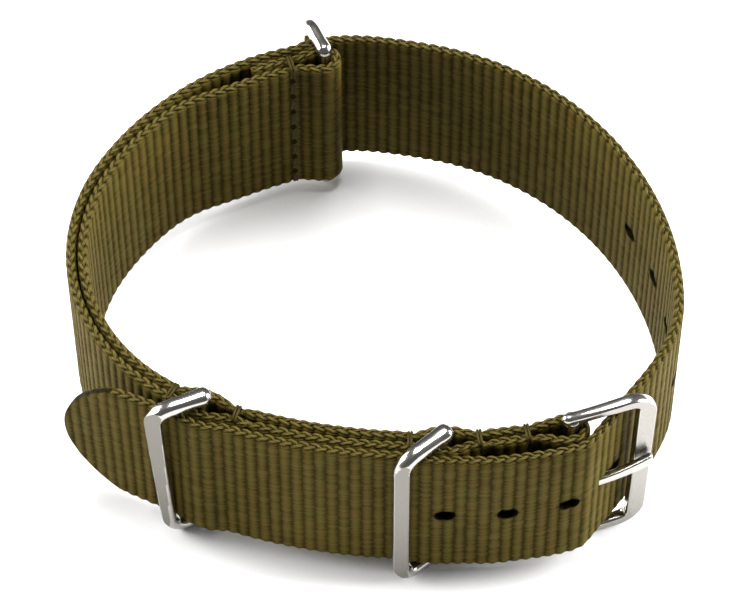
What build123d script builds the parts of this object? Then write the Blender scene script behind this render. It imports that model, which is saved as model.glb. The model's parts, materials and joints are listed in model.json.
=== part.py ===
from build123d import *
import os
from math import acos, atan2, cos, degrees, radians, sin, sqrt

# A pull-through watch strap, closed as if round a wrist and standing on one edge.
# Two nylon webs are sewn together in rows. They hold a tang buckle, two keepers and an end ring.
# Millimetres. +Z is up, along the wrist. +X is to the right and +Y to the back, away from the buckle.
# The origin is on the ground, at the centre of the loop's round back.

# Web
web_width = 21.2
web_thickness = 1.15
layer_gap = 0.1

# Inner face of the closed loop in plan, an oval of four arcs
back_radius = 31.1
front_radius = 59.6
front_reach = 16.5  # from the origin to the flat front
left_corner_radius = 19.4
right_corner_radius = 15.6
front_facing = 262.0  # degrees, the way the flat front faces
buckle_facing = 289.4  # degrees, the way the loop faces at the buckle's bar

# Distances along the inner face, from the buckle's bar round to the left
buckle_fold_row = 4.4
near_keeper_at = 12.8
far_keeper_at = 37.7
tunnel_length = 7.0  # between the two rows of stitches that hold a keeper
butt_gap = 0.2  # where the end of the main strap meets the under strap
crown_at = 6.5
tail_settles_at = 18.4
tail_leaves_at = 41.4
ring_at = 100.0
ring_fold_row = 3.8  # from the ring's bar back to the row that closes its fold
flap_length = 8.0  # from the ring's bar to the loose end of the fold
ring_run_in = 12.0  # over which the webs drift away from their resting place

# Lifts of the web away from its resting place, square to the loop
tail_crown = 0.3
ring_dip = 1.3
buckle_bar_lift = 0.4
buckle_pull = 0.5

# Tail
tail_tip_length = 12.0
tip_shoulder = 1.4  # the tip is cut to one round, this much larger than half the web's width

# Steel loops
arm_height = 1.7  # stock of the arms above and below the window
edge_clearance = 0.4
bar_radius = 0.6
tunnel_clearance = 0.1
keeper_depth = 5.7  # from the axis of the bar in the tunnel to the axis of the front bar
keeper_width = 1.65
keeper_lean = 53.0  # degrees from square, towards the tail tip
ring_depth = 4.9
ring_width = 1.4
ring_lean = 15.5
loop_corner_radius = 2.6
loop_window_radius = 1.0
round_share = 0.42  # radius of the long edges, as a share of the width of the loop's stock
flat_share = 0.85  # width of the flat ground on the front bar, as a share of the stock's width
arm_end_share = 0.48  # radius of the rounded end of an arm, as a share of its height
bar_socket_share = 0.5  # how far a bar reaches into the arms, as a share of their height

# Buckle
buckle_bar_radius = 0.75
bar_seat_clearance = 0.02
crossbar_room = 3.9  # from the fold of the tail round the bar to the crossbar
crossbar_width = 1.8
buckle_thickness = 1.4
buckle_corner_radius = 3.4
window_corner_radius = 0.5
buckle_edge_radius = 0.45
arm_overhang = 1.2  # the arms reach this far past the bar's axis

# Tongue
tongue_width = 1.2
tongue_thickness = 0.9
tongue_eye_clearance = 0.05
tongue_rest_gap = 0.05
tongue_slot_clearance = 0.5
tongue_hole_clearance = 0.2
tongue_swing_room = 0.55
tongue_tip_radius = 0.35
tongue_tip_inset = 0.2  # the tip stops this short of the crossbar's outer edge

# Holes of the tail and the side of the main strap
hole_length = 2.2
hole_height = 1.6
hole_pitch = 6.5
tongue_from_hole = 1.3  # the wrist's pull drags the tongue this far from the middle of its hole
holes_on_tail = 3
holes_on_side = 5

# Stitches
stitch_length = 2.1
stitch_width = 0.7
stitch_stand_out = 0.3
stitch_pitch = 2.85
stitch_corner_radius = 0.3

cut_overrun = 2.0

# Sizes worked out from the ones above
ply = web_thickness + layer_gap
inner_rise = web_thickness / 2
middle_rise = inner_rise + ply
tail_rise = middle_rise + ply
seam_rise = web_thickness + layer_gap / 2
window_height = web_width + 2 * edge_clearance
steel_height = window_height + 2 * arm_height
web_lift = arm_height + edge_clearance
web_middle = steel_height / 2
tip_radius = web_width / 2 + tip_shoulder
tunnel_radius = bar_radius + tunnel_clearance + web_thickness / 2
fold_radius = buckle_bar_radius + tunnel_clearance / 2 + web_thickness / 2
wrap_radius = fold_radius + ply
buckle_length = wrap_radius + web_thickness / 2 + crossbar_room + crossbar_width
ring_leg_rise = inner_rise - ring_dip
ring_bar_rise = ring_leg_rise + ply / 2
flap_rise = ring_leg_rise + ply
half_tunnel = tunnel_length / 2
arm_end_radius = arm_height * arm_end_share
tongue_near_side = buckle_thickness / 2 + tongue_rest_gap
tongue_eye_radius = tongue_near_side + tongue_thickness
stitches_in_row = int(web_width / stitch_pitch)


def toward(angle):
    """Unit vector in plan, by its angle from +X."""
    return Vector(cos(radians(angle)), sin(radians(angle)))


def bearing(vector):
    """Angle of a plan vector from +X, between 0 and 360 degrees."""
    return degrees(atan2(vector.Y, vector.X)) % 360


# The corner arcs touch the back arc and the front arc from inside, which places their centres.
front_centre = toward(front_facing + 180) * (front_radius - front_reach)


def corner_centre(radius, side):
    """Centre of the corner arc that joins the back to the front; side is 1 for the left one."""
    to_back = back_radius - radius
    to_front = front_radius - radius
    apart = front_centre.length
    along = (to_back**2 - to_front**2 + apart**2) / (2 * apart)
    across = sqrt(to_back**2 - along**2)
    unit = front_centre.normalized()
    return unit * along + Vector(-unit.Y, unit.X) * across * side


left_centre = corner_centre(left_corner_radius, 1)
right_centre = corner_centre(right_corner_radius, -1)
back_left_facing = bearing(left_centre)
front_left_facing = bearing(left_centre - front_centre)
front_right_facing = bearing(right_centre - front_centre)
back_right_facing = (bearing(right_centre) + 180) % 360 - 180

# Arcs in the order met from the buckle's bar leftwards: centre, radius, first and last facing.
loop_arcs = [
    (right_centre, right_corner_radius, buckle_facing, front_right_facing),
    (front_centre, front_radius, front_right_facing, front_left_facing),
    (left_centre, left_corner_radius, front_left_facing, back_left_facing),
    (Vector(0, 0), back_radius, back_left_facing, back_right_facing),
    (right_centre, right_corner_radius, back_right_facing + 360, buckle_facing),
]
arc_lengths = [radius * radians(first - last) for centre, radius, first, last in loop_arcs]


def arc_at(distance):
    """Centre and radius of the loop's arc at a distance from the bar, and the way it faces there."""
    passed = 0
    for (centre, radius, first, last), length in zip(loop_arcs, arc_lengths):
        if distance <= passed + length:
            break
        passed += length
    return centre, radius, first - degrees((distance - passed) / radius)


def place(distance, rise):
    """Point in plan at a distance along the loop and a rise outwards from its inner face."""
    centre, radius, facing = arc_at(distance)
    return centre + toward(facing) * (radius + rise)


def outward(distance):
    """Unit vector that points away from the wrist."""
    return toward(arc_at(distance)[2])


def stop(distance, rise):
    """A place that a web passes, and its heading there when it runs leftwards."""
    return place(distance, rise), toward(arc_at(distance)[2] - 90)


def steady(start, end, rise):
    """Stops of a web that keeps its rise, one at each place where the loop changes its arc."""
    joins = [sum(arc_lengths[: count + 1]) for count in range(len(arc_lengths))]
    return [stop(at, rise) for at in (start, *(join for join in joins if start < join < end), end)]


def bend(start, heading, end, end_heading):
    """Two arcs that leave one stop along its heading and reach the next one along its own."""
    chord = end - start
    both = heading + end_heading
    lean = chord.dot(both)
    spread = 2 * (1 - heading.dot(end_heading))
    reach = chord.dot(chord) / (lean + sqrt(lean**2 + spread * chord.dot(chord)))
    middle = (start + heading * reach + end - end_heading * reach) * 0.5
    first = TangentArc(start, middle, tangent=heading)
    TangentArc(middle, end, tangent=first % 1)


def lay_leftwards(stops):
    """The middle line of a web through its stops."""
    for (start, heading), (end, end_heading) in zip(stops, stops[1:]):
        bend(start, heading, end, end_heading)


def lay_rightwards(stops):
    """The same line drawn the other way."""
    turned = [(point, -heading) for point, heading in reversed(stops)]
    lay_leftwards(turned)


buckle_bar_at = place(0, seam_rise + buckle_bar_lift)
bar_outward = toward(buckle_facing)
bar_leftward = toward(buckle_facing - 90)
near_keeper_bar = place(near_keeper_at, seam_rise)
far_keeper_bar = place(far_keeper_at, seam_rise)
ring_bar = place(ring_at, ring_bar_rise)

# The tail wraps the fold, then runs straight to the right side: a line that touches both circles.
side_radius = right_corner_radius + middle_rise - buckle_pull
centres_apart = (right_centre - buckle_bar_at).length
side_facing = buckle_facing + degrees(acos((side_radius - wrap_radius) / centres_apart))
side_end = right_centre + toward(side_facing) * side_radius
wrap_start = buckle_bar_at + toward(side_facing) * wrap_radius

# Distances of the rows of stitches
near_right_row = near_keeper_at - half_tunnel
near_left_row = near_keeper_at + half_tunnel
far_right_row = far_keeper_at - half_tunnel
far_left_row = far_keeper_at + half_tunnel
side_start = sum(arc_lengths[:4])

# The frame and the tongue run from the bar away from the keepers; inwards is towards the wrist.
buckle_direction = -bar_leftward
buckle_inward = -bar_outward

# Where the middle of the tongue comes out of the tail's outer face, the first of the row of holes
outer_face = wrap_start + toward(side_facing) * (web_thickness / 2)
side_run = side_end - wrap_start
tongue_middle = tongue_near_side + tongue_thickness / 2
still_to_go = -tongue_middle - (outer_face - buckle_bar_at).dot(buckle_inward)
tongue_hole_at = wrap_start + side_run * (still_to_go / side_run.dot(buckle_inward))

ring_row = ring_at - ring_fold_row
flap_end = ring_at - flap_length
ring_outward = outward(ring_at)
ring_heading = toward(arc_at(ring_at)[2] - 90)

inner_leg = [
    (buckle_bar_at - bar_outward * fold_radius, bar_leftward),
    stop(buckle_fold_row, inner_rise),
    stop(near_right_row, inner_rise),
    stop(near_keeper_at, seam_rise - tunnel_radius),
    stop(near_left_row, inner_rise),
    *steady(near_left_row, far_right_row - butt_gap, inner_rise)[1:],
]
middle_leg = [
    (buckle_bar_at + bar_outward * fold_radius, bar_leftward),
    stop(buckle_fold_row, middle_rise),
    stop(near_right_row, middle_rise),
    stop(near_keeper_at, seam_rise + tunnel_radius),
    stop(near_left_row, middle_rise),
    stop(far_right_row, middle_rise),
    stop(far_keeper_at, seam_rise + tunnel_radius),
    stop(far_left_row, middle_rise),
    *steady(far_left_row, ring_row, middle_rise)[1:],
    stop(ring_at, ring_bar_rise + tunnel_radius + ply),
    stop(ring_at + ring_run_in, middle_rise),
    *steady(ring_at + ring_run_in, side_start, middle_rise)[1:],
    (side_end, toward(side_facing - 90)),
]
tail_leg = [
    (buckle_bar_at + bar_outward * wrap_radius, bar_leftward),
    stop(crown_at, seam_rise + wrap_radius + tail_crown),
    stop(near_keeper_at, seam_rise + tunnel_radius + ply),
    stop(tail_settles_at, tail_rise),
    stop(far_right_row, tail_rise),
    stop(far_keeper_at, seam_rise + tunnel_radius + ply),
    stop(tail_leaves_at, tail_rise),
]
tail_start, tail_heading = tail_leg[-1]
tail_end = tail_start + tail_heading * tail_tip_length
under_leg = [
    stop(far_right_row, inner_rise),
    stop(far_keeper_at, seam_rise - tunnel_radius),
    stop(far_left_row, inner_rise),
    *steady(far_left_row, flap_end - ring_run_in, inner_rise)[1:],
    stop(flap_end, ring_leg_rise),
    stop(ring_row, ring_leg_rise),
    (ring_bar - ring_outward * tunnel_radius, ring_heading),
]
flap_leg = [
    stop(flap_end, flap_rise),
    stop(ring_row, flap_rise),
    (ring_bar + ring_outward * tunnel_radius, ring_heading),
]


def upright(point, direction):
    """Standing plane through the middle of a bar: x along a direction in plan, y up."""
    middle = Vector(point.X, point.Y, web_middle)
    return Plane(origin=middle, x_dir=direction, z_dir=direction.cross(Vector(0, 0, 1)))


def level(point, direction):
    """Lying plane through the middle of a bar: x along a direction in plan, z up."""
    middle = Vector(point.X, point.Y, web_middle)
    return Plane(origin=middle, x_dir=direction, z_dir=(0, 0, 1))


def across_web(route, distance):
    """Plane in the middle of a web at a distance along its line: x along the web, z through it."""
    share = distance / route.length
    point = route @ share
    heading = route % share
    middle = Vector(point.X, point.Y, web_middle)
    return Plane(origin=middle, x_dir=heading, z_dir=heading.cross(Vector(0, 0, 1)))


# Main strap: nylon web from its inner end, folded round the buckle's bar, round the wrist and out
# to the tail. Its holes are melted through, and the fold has a slot for the tongue's eye.
with BuildPart() as main_strap:
    with BuildSketch(Plane.XY.offset(web_lift)):
        with BuildLine() as main_path:
            lay_rightwards(inner_leg)
            ThreePointArc(
                buckle_bar_at - bar_outward * fold_radius,
                buckle_bar_at - bar_leftward * fold_radius,
                buckle_bar_at + bar_outward * fold_radius,
            )
            lay_leftwards(middle_leg)
            Line(side_end, wrap_start)
            CenterArc(buckle_bar_at, wrap_radius, side_facing, buckle_facing - side_facing)
            lay_leftwards(tail_leg)
            Line(tail_start, tail_end)
        trace(line_width=web_thickness)
    extrude(amount=web_width)
    with BuildSketch(upright(tail_end, tail_heading)):
        Rectangle(2 * tip_radius, web_width + cut_overrun)
        with Locations((-tip_radius, 0)):
            Circle(tip_radius, mode=Mode.SUBTRACT)
    extrude(amount=web_thickness, both=True, mode=Mode.SUBTRACT)
    tongue_plane = level(buckle_bar_at, buckle_direction)
    with BuildSketch(tongue_plane):
        Circle(fold_radius + ply / 2)
    extrude(amount=tongue_width / 2 + tongue_slot_clearance, both=True, mode=Mode.SUBTRACT)
    with BuildSketch(tongue_plane):
        with Locations((0, tongue_hole_clearance - tongue_near_side)):
            Rectangle(
                buckle_length - crossbar_width,
                tongue_thickness + 2 * tongue_hole_clearance + tongue_swing_room,
                align=(Align.MIN, Align.MAX),
            )
    extrude(amount=tongue_width / 2 + tongue_hole_clearance, both=True, mode=Mode.SUBTRACT)
    route = main_path.wires()[0]
    used_hole_along = route.length * route.param_at_point(tongue_hole_at) - tongue_from_hole
    for number in (*range(-holes_on_side, 0), *range(1, holes_on_tail + 1)):
        with BuildSketch(across_web(route, used_hole_along + number * hole_pitch)):
            SlotOverall(hole_length, hole_height)
        extrude(amount=web_thickness, both=True, mode=Mode.SUBTRACT)
main_strap.part.label = "main_strap"

# Under strap: the inner web of the left half, folded outwards round the end ring's inner bar
with BuildPart() as under_strap:
    with BuildSketch(Plane.XY.offset(web_lift)):
        with BuildLine():
            lay_leftwards(under_leg)
            ThreePointArc(
                ring_bar - ring_outward * tunnel_radius,
                ring_bar + ring_heading * tunnel_radius,
                ring_bar + ring_outward * tunnel_radius,
            )
            lay_rightwards(flap_leg)
        trace(line_width=web_thickness)
    extrude(amount=web_width)
under_strap.part.label = "under_strap"

# Keepers and end ring: steel loops, each with a round bar held in the web, two arms and a front bar.
# The stock is nearly round, and the front bar is ground flat where it faces away from the wrist.
loops = []
for name, at, bar, depth, width, lean in (
    ("near_keeper", near_keeper_at, near_keeper_bar, keeper_depth, keeper_width, -keeper_lean),
    ("far_keeper", far_keeper_at, far_keeper_bar, keeper_depth, keeper_width, -keeper_lean),
    ("end_ring", ring_at, ring_bar, ring_depth, ring_width, ring_lean),
):
    direction = outward(at).rotate(Axis.Z, lean)
    loop_plane = upright(bar, direction)
    front_bar = bar + direction * depth
    with BuildPart() as loop:
        with BuildSketch(loop_plane) as hoop:
            with Locations((-bar_radius, 0)):
                Rectangle(
                    bar_radius + depth + arm_height / 2,
                    steel_height,
                    align=(Align.MIN, Align.CENTER),
                )
            with Locations((-cut_overrun, 0)):
                Rectangle(
                    cut_overrun + depth - arm_height / 2,
                    window_height,
                    align=(Align.MIN, Align.CENTER),
                    mode=Mode.SUBTRACT,
                )
            fillet(hoop.vertices().group_by(Axis.X)[1], radius=loop_window_radius)
            fillet(hoop.vertices().group_by(Axis.X)[-1], radius=loop_corner_radius)
            fillet(hoop.vertices().group_by(Axis.X)[0], radius=arm_end_radius)
        extrude(amount=width / 2, both=True)
        sides = loop.faces().filter_by(Axis(bar, loop_plane.z_dir))
        fillet(sides.edges(), radius=width * round_share)
        flat_distance = width / 2 * sqrt(1 - flat_share**2)
        flat_at = front_bar + outward(at) * flat_distance
        with BuildSketch(Plane(origin=flat_at, x_dir=(0, 0, 1), z_dir=outward(at))):
            Rectangle(2 * steel_height, 2 * width)
        extrude(amount=width, mode=Mode.SUBTRACT)
        with BuildSketch(level(bar, direction)):
            Circle(bar_radius)
        extrude(amount=window_height / 2 + arm_height * bar_socket_share, both=True)
    loop.part.label = name
    loops.append(loop)

# Buckle bar: round steel, its ends seated in the arms of the frame
bar_half = window_height / 2 + arm_height * bar_socket_share
with BuildPart() as buckle_bar:
    with BuildSketch(level(buckle_bar_at, buckle_direction)):
        Circle(buckle_bar_radius)
    extrude(amount=bar_half, both=True)
buckle_bar.part.label = "buckle_bar"

# Buckle frame: a flat steel frame, open towards the web, with a socket for the bar in each arm
with BuildPart() as buckle_frame:
    with BuildSketch(upright(buckle_bar_at, buckle_direction)) as outline:
        with Locations((-arm_overhang, 0)):
            Rectangle(arm_overhang + buckle_length, steel_height, align=(Align.MIN, Align.CENTER))
        with Locations((-cut_overrun, 0)):
            Rectangle(
                cut_overrun + buckle_length - crossbar_width,
                window_height,
                align=(Align.MIN, Align.CENTER),
                mode=Mode.SUBTRACT,
            )
        fillet(outline.vertices().group_by(Axis.X)[1], radius=window_corner_radius)
        fillet(outline.vertices().group_by(Axis.X)[-1], radius=buckle_corner_radius)
        fillet(outline.vertices().group_by(Axis.X)[0], radius=arm_end_radius)
    extrude(amount=buckle_thickness / 2, both=True)
    sides = buckle_frame.faces().filter_by(Axis(buckle_bar_at, buckle_inward))
    fillet(sides.edges(), radius=buckle_edge_radius)
    with BuildSketch(level(buckle_bar_at, buckle_direction)):
        Circle(buckle_bar_radius + bar_seat_clearance)
    extrude(amount=bar_half, both=True, mode=Mode.SUBTRACT)
buckle_frame.part.label = "buckle_frame"

# Tongue: a flat steel pin with an eye round the bar, lying on the outer face of the crossbar
with BuildPart() as buckle_tongue:
    with BuildSketch(level(buckle_bar_at, buckle_direction)):
        Circle(tongue_eye_radius)
        with Locations((0, -tongue_near_side)):
            pin = Rectangle(
                buckle_length - tongue_tip_inset,
                tongue_thickness,
                align=(Align.MIN, Align.MAX),
            )
        tip_corners = pin.vertices().group_by(Axis(buckle_bar_at, buckle_direction))[-1]
        fillet(tip_corners, radius=tongue_tip_radius)
        Circle(buckle_bar_radius + tongue_eye_clearance, mode=Mode.SUBTRACT)
    extrude(amount=tongue_width / 2, both=True)
buckle_tongue.part.label = "buckle_tongue"

# Rows of stitches: nylon thread through both layers of web, drawn in flush on the outer side
rows = []
for name, at, low, high in (
    ("buckle_fold_stitches", buckle_fold_row, inner_rise, middle_rise),
    ("near_keeper_right_stitches", near_right_row, inner_rise, middle_rise),
    ("near_keeper_left_stitches", near_left_row, inner_rise, middle_rise),
    ("far_keeper_right_stitches", far_right_row, inner_rise, middle_rise),
    ("far_keeper_left_stitches", far_left_row, inner_rise, middle_rise),
    ("ring_fold_stitches", ring_row, ring_leg_rise, flap_rise),
):
    bottom = low - web_thickness / 2 - stitch_stand_out
    top = high + web_thickness / 2 + layer_gap / 2
    foot = place(at, bottom)
    with BuildPart() as row:
        with BuildSketch(Plane(origin=(foot.X, foot.Y, web_middle), x_dir=(0, 0, 1), z_dir=outward(at))):
            with GridLocations(stitch_pitch, 0, stitches_in_row, 1):
                RectangleRounded(stitch_length, stitch_width, stitch_corner_radius)
        extrude(amount=top - bottom)
    row.part.label = name
    rows.append(row)

os.makedirs("parts", exist_ok=True)
for piece in (main_strap, under_strap, *loops, buckle_frame, buckle_bar, buckle_tongue, *rows):
    export_step(piece.part, f"parts/{piece.part.label}.step")
print("length of the main strap", round(route.length, 1))
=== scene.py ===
import json
import math

import bmesh
import bpy
import numpy as np
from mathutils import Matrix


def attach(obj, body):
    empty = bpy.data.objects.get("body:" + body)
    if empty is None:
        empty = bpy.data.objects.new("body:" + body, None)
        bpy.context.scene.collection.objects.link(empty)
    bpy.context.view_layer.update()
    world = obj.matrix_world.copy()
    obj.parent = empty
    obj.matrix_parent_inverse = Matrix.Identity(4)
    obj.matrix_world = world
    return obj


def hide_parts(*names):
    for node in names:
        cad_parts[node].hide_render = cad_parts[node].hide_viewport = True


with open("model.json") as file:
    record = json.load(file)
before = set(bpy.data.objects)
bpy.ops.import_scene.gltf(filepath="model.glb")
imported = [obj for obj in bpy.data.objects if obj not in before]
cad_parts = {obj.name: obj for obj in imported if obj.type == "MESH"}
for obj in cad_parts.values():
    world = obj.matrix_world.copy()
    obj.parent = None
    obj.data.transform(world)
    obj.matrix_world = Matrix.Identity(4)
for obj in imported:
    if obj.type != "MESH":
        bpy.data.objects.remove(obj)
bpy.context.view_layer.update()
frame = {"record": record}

# The oval that the webs follow
# Closed round a wrist, the strap lies in an oval of four arcs, seen from above. A place on it is a
# distance along its inner face, leftwards from the buckle's bar, and a rise outwards. Sizes are in
# millimetres, plan points are complex numbers, and meshes are turned into metres as they are made.
millimetre = 0.001
back_radius = 31.1
front_radius = 59.6
front_reach = 16.5
left_corner_radius = 19.4
right_corner_radius = 15.6
front_facing = 262.0
buckle_facing = 289.4
middle_height = frame["record"]["behaviour"]["joints"][0]["pos_m"][2] / millimetre


def toward(angle):
    """Unit plan vector at an angle in degrees from +X."""
    return np.exp(1j * np.radians(angle))


def bearing(vector):
    """Angle of a plan vector from +X, between 0 and 360 degrees."""
    return np.degrees(np.angle(vector)) % 360


def dot(first, second):
    """Scalar product of two plan vectors."""
    return (np.conj(first) * second).real


front_centre = toward(front_facing + 180) * (front_radius - front_reach)


def corner_centre(radius, side):
    """Centre of a corner arc that touches the back and front arcs from inside: where circles of
    back_radius - radius and front_radius - radius about their centres meet."""
    to_back, to_front = back_radius - radius, front_radius - radius
    apart = abs(front_centre)
    reach = (to_back**2 - to_front**2 + apart**2) / (2 * apart)
    return front_centre / apart * (reach + 1j * side * math.sqrt(to_back**2 - reach**2))


left_centre = corner_centre(left_corner_radius, 1)
right_centre = corner_centre(right_corner_radius, -1)
front_left = bearing(left_centre - front_centre)
front_right = bearing(right_centre - front_centre)
back_left = bearing(left_centre)
back_right = (bearing(right_centre) + 180) % 360 - 180
oval = [
    (right_centre, right_corner_radius, buckle_facing, front_right),
    (front_centre, front_radius, front_right, front_left),
    (left_centre, left_corner_radius, front_left, back_left),
    (0, back_radius, back_left, back_right),
    (right_centre, right_corner_radius, back_right + 360, buckle_facing),
]
oval_lengths = [radius * math.radians(first - last) for _, radius, first, last in oval]
oval_joins = np.cumsum(oval_lengths)


def arc_at(distance):
    """Centre, radius and facing of the oval at a distance: the arc that holds it, turned back by
    the distance left over divided by the radius."""
    which = min(int(np.searchsorted(oval_joins, distance)), len(oval) - 1)
    centre, radius, first, _ = oval[which]
    passed = oval_joins[which] - oval_lengths[which]
    return centre, radius, first - math.degrees((distance - passed) / radius)


def place(distance, rise):
    """Plan point at a distance along the oval and a rise outwards from its inner face."""
    centre, radius, facing = arc_at(distance)
    return centre + toward(facing) * (radius + rise)


def outward(distance):
    """Unit vector away from the wrist."""
    return toward(arc_at(distance)[2])


def stop(distance, rise):
    """A place that a web passes, and its heading there when it runs leftwards."""
    return place(distance, rise), outward(distance) * -1j


def steady(start, end, rise):
    """Stops of a web that keeps its rise, one at each join of the oval."""
    joins = [join for join in oval_joins if start < join < end]
    return [stop(at, rise) for at in (start, *joins, end)]


def arc_to(start, heading, end):
    """The arc that leaves a point along a heading and reaches an end. It turns by twice the angle
    between heading and chord, and is as long as the chord over the sinc of that angle."""
    half = np.angle((end - start) / heading)
    return start, heading, abs(end - start) / np.sinc(half / np.pi), 2 * half


def lay(stops):
    """Pairs of tangent arcs through stops, which meet halfway between equal tangent legs."""
    arcs = []
    for (start, heading), (end, end_heading) in zip(stops, stops[1:]):
        chord = end - start
        lean = dot(chord, heading + end_heading)
        spread = 2 * (1 - dot(heading, end_heading))
        reach = abs(chord) ** 2 / (lean + math.sqrt(lean**2 + spread * abs(chord) ** 2))
        middle = (start + heading * reach + end - end_heading * reach) / 2
        first = arc_to(start, heading, middle)
        arcs += [first, arc_to(middle, heading * np.exp(1j * first[3]), end)]
    return arcs


def turned(stops):
    """The same stops for a web that runs the other way."""
    return [(point, -heading) for point, heading in reversed(stops)]


def along(route, distance):
    """Plan points and headings at distances along a route of arcs. In each arc the chord so far is
    its length so far times the sinc of half its turn, turned by that half."""
    start, heading, length, turn = (np.array(column) for column in zip(*route))
    ends = np.cumsum(length)
    which = np.searchsorted(ends, distance).clip(max=len(ends) - 1)
    gone = length[which] - ends[which] + distance
    angle = turn[which] * gone / length[which]
    chord = gone * np.sinc(angle / 2 / np.pi) * np.exp(0.5j * angle)
    return start[which] + heading[which] * chord, heading[which] * np.exp(1j * angle)


def length_of(route):
    """Length of a route."""
    return sum(arc[2] for arc in route)


# Main strap
# One nylon web, woven with crosswise ribs. From its inner end it runs right to the buckle's bar,
# folds round it, goes once round the wrist and ends as the tail. Its holes are melted through with
# a hot pin, and its tip is cut round and sealed with heat.
web_width = 21.2
web_thickness = 1.15
layer_gap = 0.1
buckle_fold_row = 4.4
near_keeper_at = 12.8
far_keeper_at = 37.7
tunnel_length = 7.0
butt_gap = 0.2
crown_at = 6.5
tail_settles_at = 18.4
tail_leaves_at = 41.4
ring_at = 100.0
ring_fold_row = 3.8
flap_length = 8.0
ring_run_in = 12.0
tail_crown = 0.3
ring_dip = 1.3
buckle_bar_lift = 0.4
buckle_pull = 0.5
tail_tip_length = 12.0
tip_radius = 12.0
bar_radius = 0.6
buckle_bar_radius = 0.75
tunnel_clearance = 0.1
tongue_middle = 1.2
hole_length = 2.2
hole_height = 1.6
hole_pitch = 6.5
tongue_from_hole = 1.3
holes_on_side = 5
holes_on_tail = 3

ply = web_thickness + layer_gap
inner_rise = web_thickness / 2
middle_rise = inner_rise + ply
tail_rise = middle_rise + ply
seam_rise = web_thickness + layer_gap / 2
tunnel_radius = bar_radius + tunnel_clearance + web_thickness / 2
fold_radius = buckle_bar_radius + tunnel_clearance / 2 + web_thickness / 2
wrap_radius = fold_radius + ply
ring_leg_rise = inner_rise - ring_dip
ring_bar_rise = ring_leg_rise + ply / 2
flap_rise = ring_leg_rise + ply

near_right_row = near_keeper_at - tunnel_length / 2
near_left_row = near_keeper_at + tunnel_length / 2
far_right_row = far_keeper_at - tunnel_length / 2
far_left_row = far_keeper_at + tunnel_length / 2
ring_row = ring_at - ring_fold_row
flap_end = ring_at - flap_length

buckle_bar = place(0, seam_rise + buckle_bar_lift)
bar_outward = toward(buckle_facing)
bar_leftward = bar_outward * -1j
side_radius = right_corner_radius + middle_rise - buckle_pull
side_turn = math.acos((side_radius - wrap_radius) / abs(right_centre - buckle_bar))
side_outward = toward(buckle_facing + math.degrees(side_turn))
side_heading = side_outward * -1j
side_end = right_centre + side_outward * side_radius
wrap_start = buckle_bar + side_outward * wrap_radius

inner_leg = [
    (buckle_bar - bar_outward * fold_radius, bar_leftward),
    stop(buckle_fold_row, inner_rise),
    stop(near_right_row, inner_rise),
    stop(near_keeper_at, seam_rise - tunnel_radius),
    stop(near_left_row, inner_rise),
    *steady(near_left_row, far_right_row - butt_gap, inner_rise)[1:],
]
middle_leg = [
    (buckle_bar + bar_outward * fold_radius, bar_leftward),
    stop(buckle_fold_row, middle_rise),
    stop(near_right_row, middle_rise),
    stop(near_keeper_at, seam_rise + tunnel_radius),
    stop(near_left_row, middle_rise),
    stop(far_right_row, middle_rise),
    stop(far_keeper_at, seam_rise + tunnel_radius),
    stop(far_left_row, middle_rise),
    *steady(far_left_row, ring_row, middle_rise)[1:],
    stop(ring_at, ring_bar_rise + tunnel_radius + ply),
    stop(ring_at + ring_run_in, middle_rise),
    *steady(ring_at + ring_run_in, oval_joins[3], middle_rise)[1:],
    (side_end, side_heading),
]
tail_leg = [
    (buckle_bar + bar_outward * wrap_radius, bar_leftward),
    stop(crown_at, seam_rise + wrap_radius + tail_crown),
    stop(near_keeper_at, seam_rise + tunnel_radius + ply),
    stop(tail_settles_at, tail_rise),
    stop(far_right_row, tail_rise),
    stop(far_keeper_at, seam_rise + tunnel_radius + ply),
    stop(tail_leaves_at, tail_rise),
]
tail_start, tail_heading = tail_leg[-1]
tail_end = tail_start + tail_heading * tail_tip_length
inner_part = lay(turned(inner_leg))
fold_part = [arc_to(inner_leg[0][0], -bar_leftward, middle_leg[0][0])]
middle_part = lay(middle_leg)
side_part = [
    arc_to(side_end, side_heading, wrap_start),
    arc_to(wrap_start, side_heading, tail_leg[0][0]),
]
tail_part = lay(tail_leg) + [arc_to(tail_start, tail_heading, tail_end)]
main_route = inner_part + fold_part + middle_part + side_part + tail_part
main_length = length_of(main_route)
middle_begins = length_of(inner_part + fold_part)
side_length = abs(wrap_start - side_end)
wrap_begins = middle_begins + length_of(middle_part) + side_length

# The tongue stands in the hole nearest to the buckle, which it has drawn longer. It crosses the
# outer face on the straight run between the side of the loop and the wrap round the bar.
outer_face = wrap_start + side_outward * web_thickness / 2
past_tongue = dot(outer_face - buckle_bar, bar_outward) - tongue_middle
tongue_crosses = wrap_begins - side_length * past_tongue / dot(wrap_start - side_end, bar_outward)
used_hole = tongue_crosses - tongue_from_hole
main_holes = [
    (used_hole + number * hole_pitch, hole_length)
    for number in (*range(-holes_on_side, 0), *range(1, holes_on_tail + 1))
]
main_holes.append((used_hole + tongue_from_hole / 2, hole_length + tongue_from_hole))
shared_rows = (buckle_fold_row, near_right_row, near_left_row, far_right_row)
main_rows = [
    *(length_of(inner_part) - row for row in shared_rows),
    *(middle_begins + row for row in (*shared_rows, far_left_row)),
]

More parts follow.
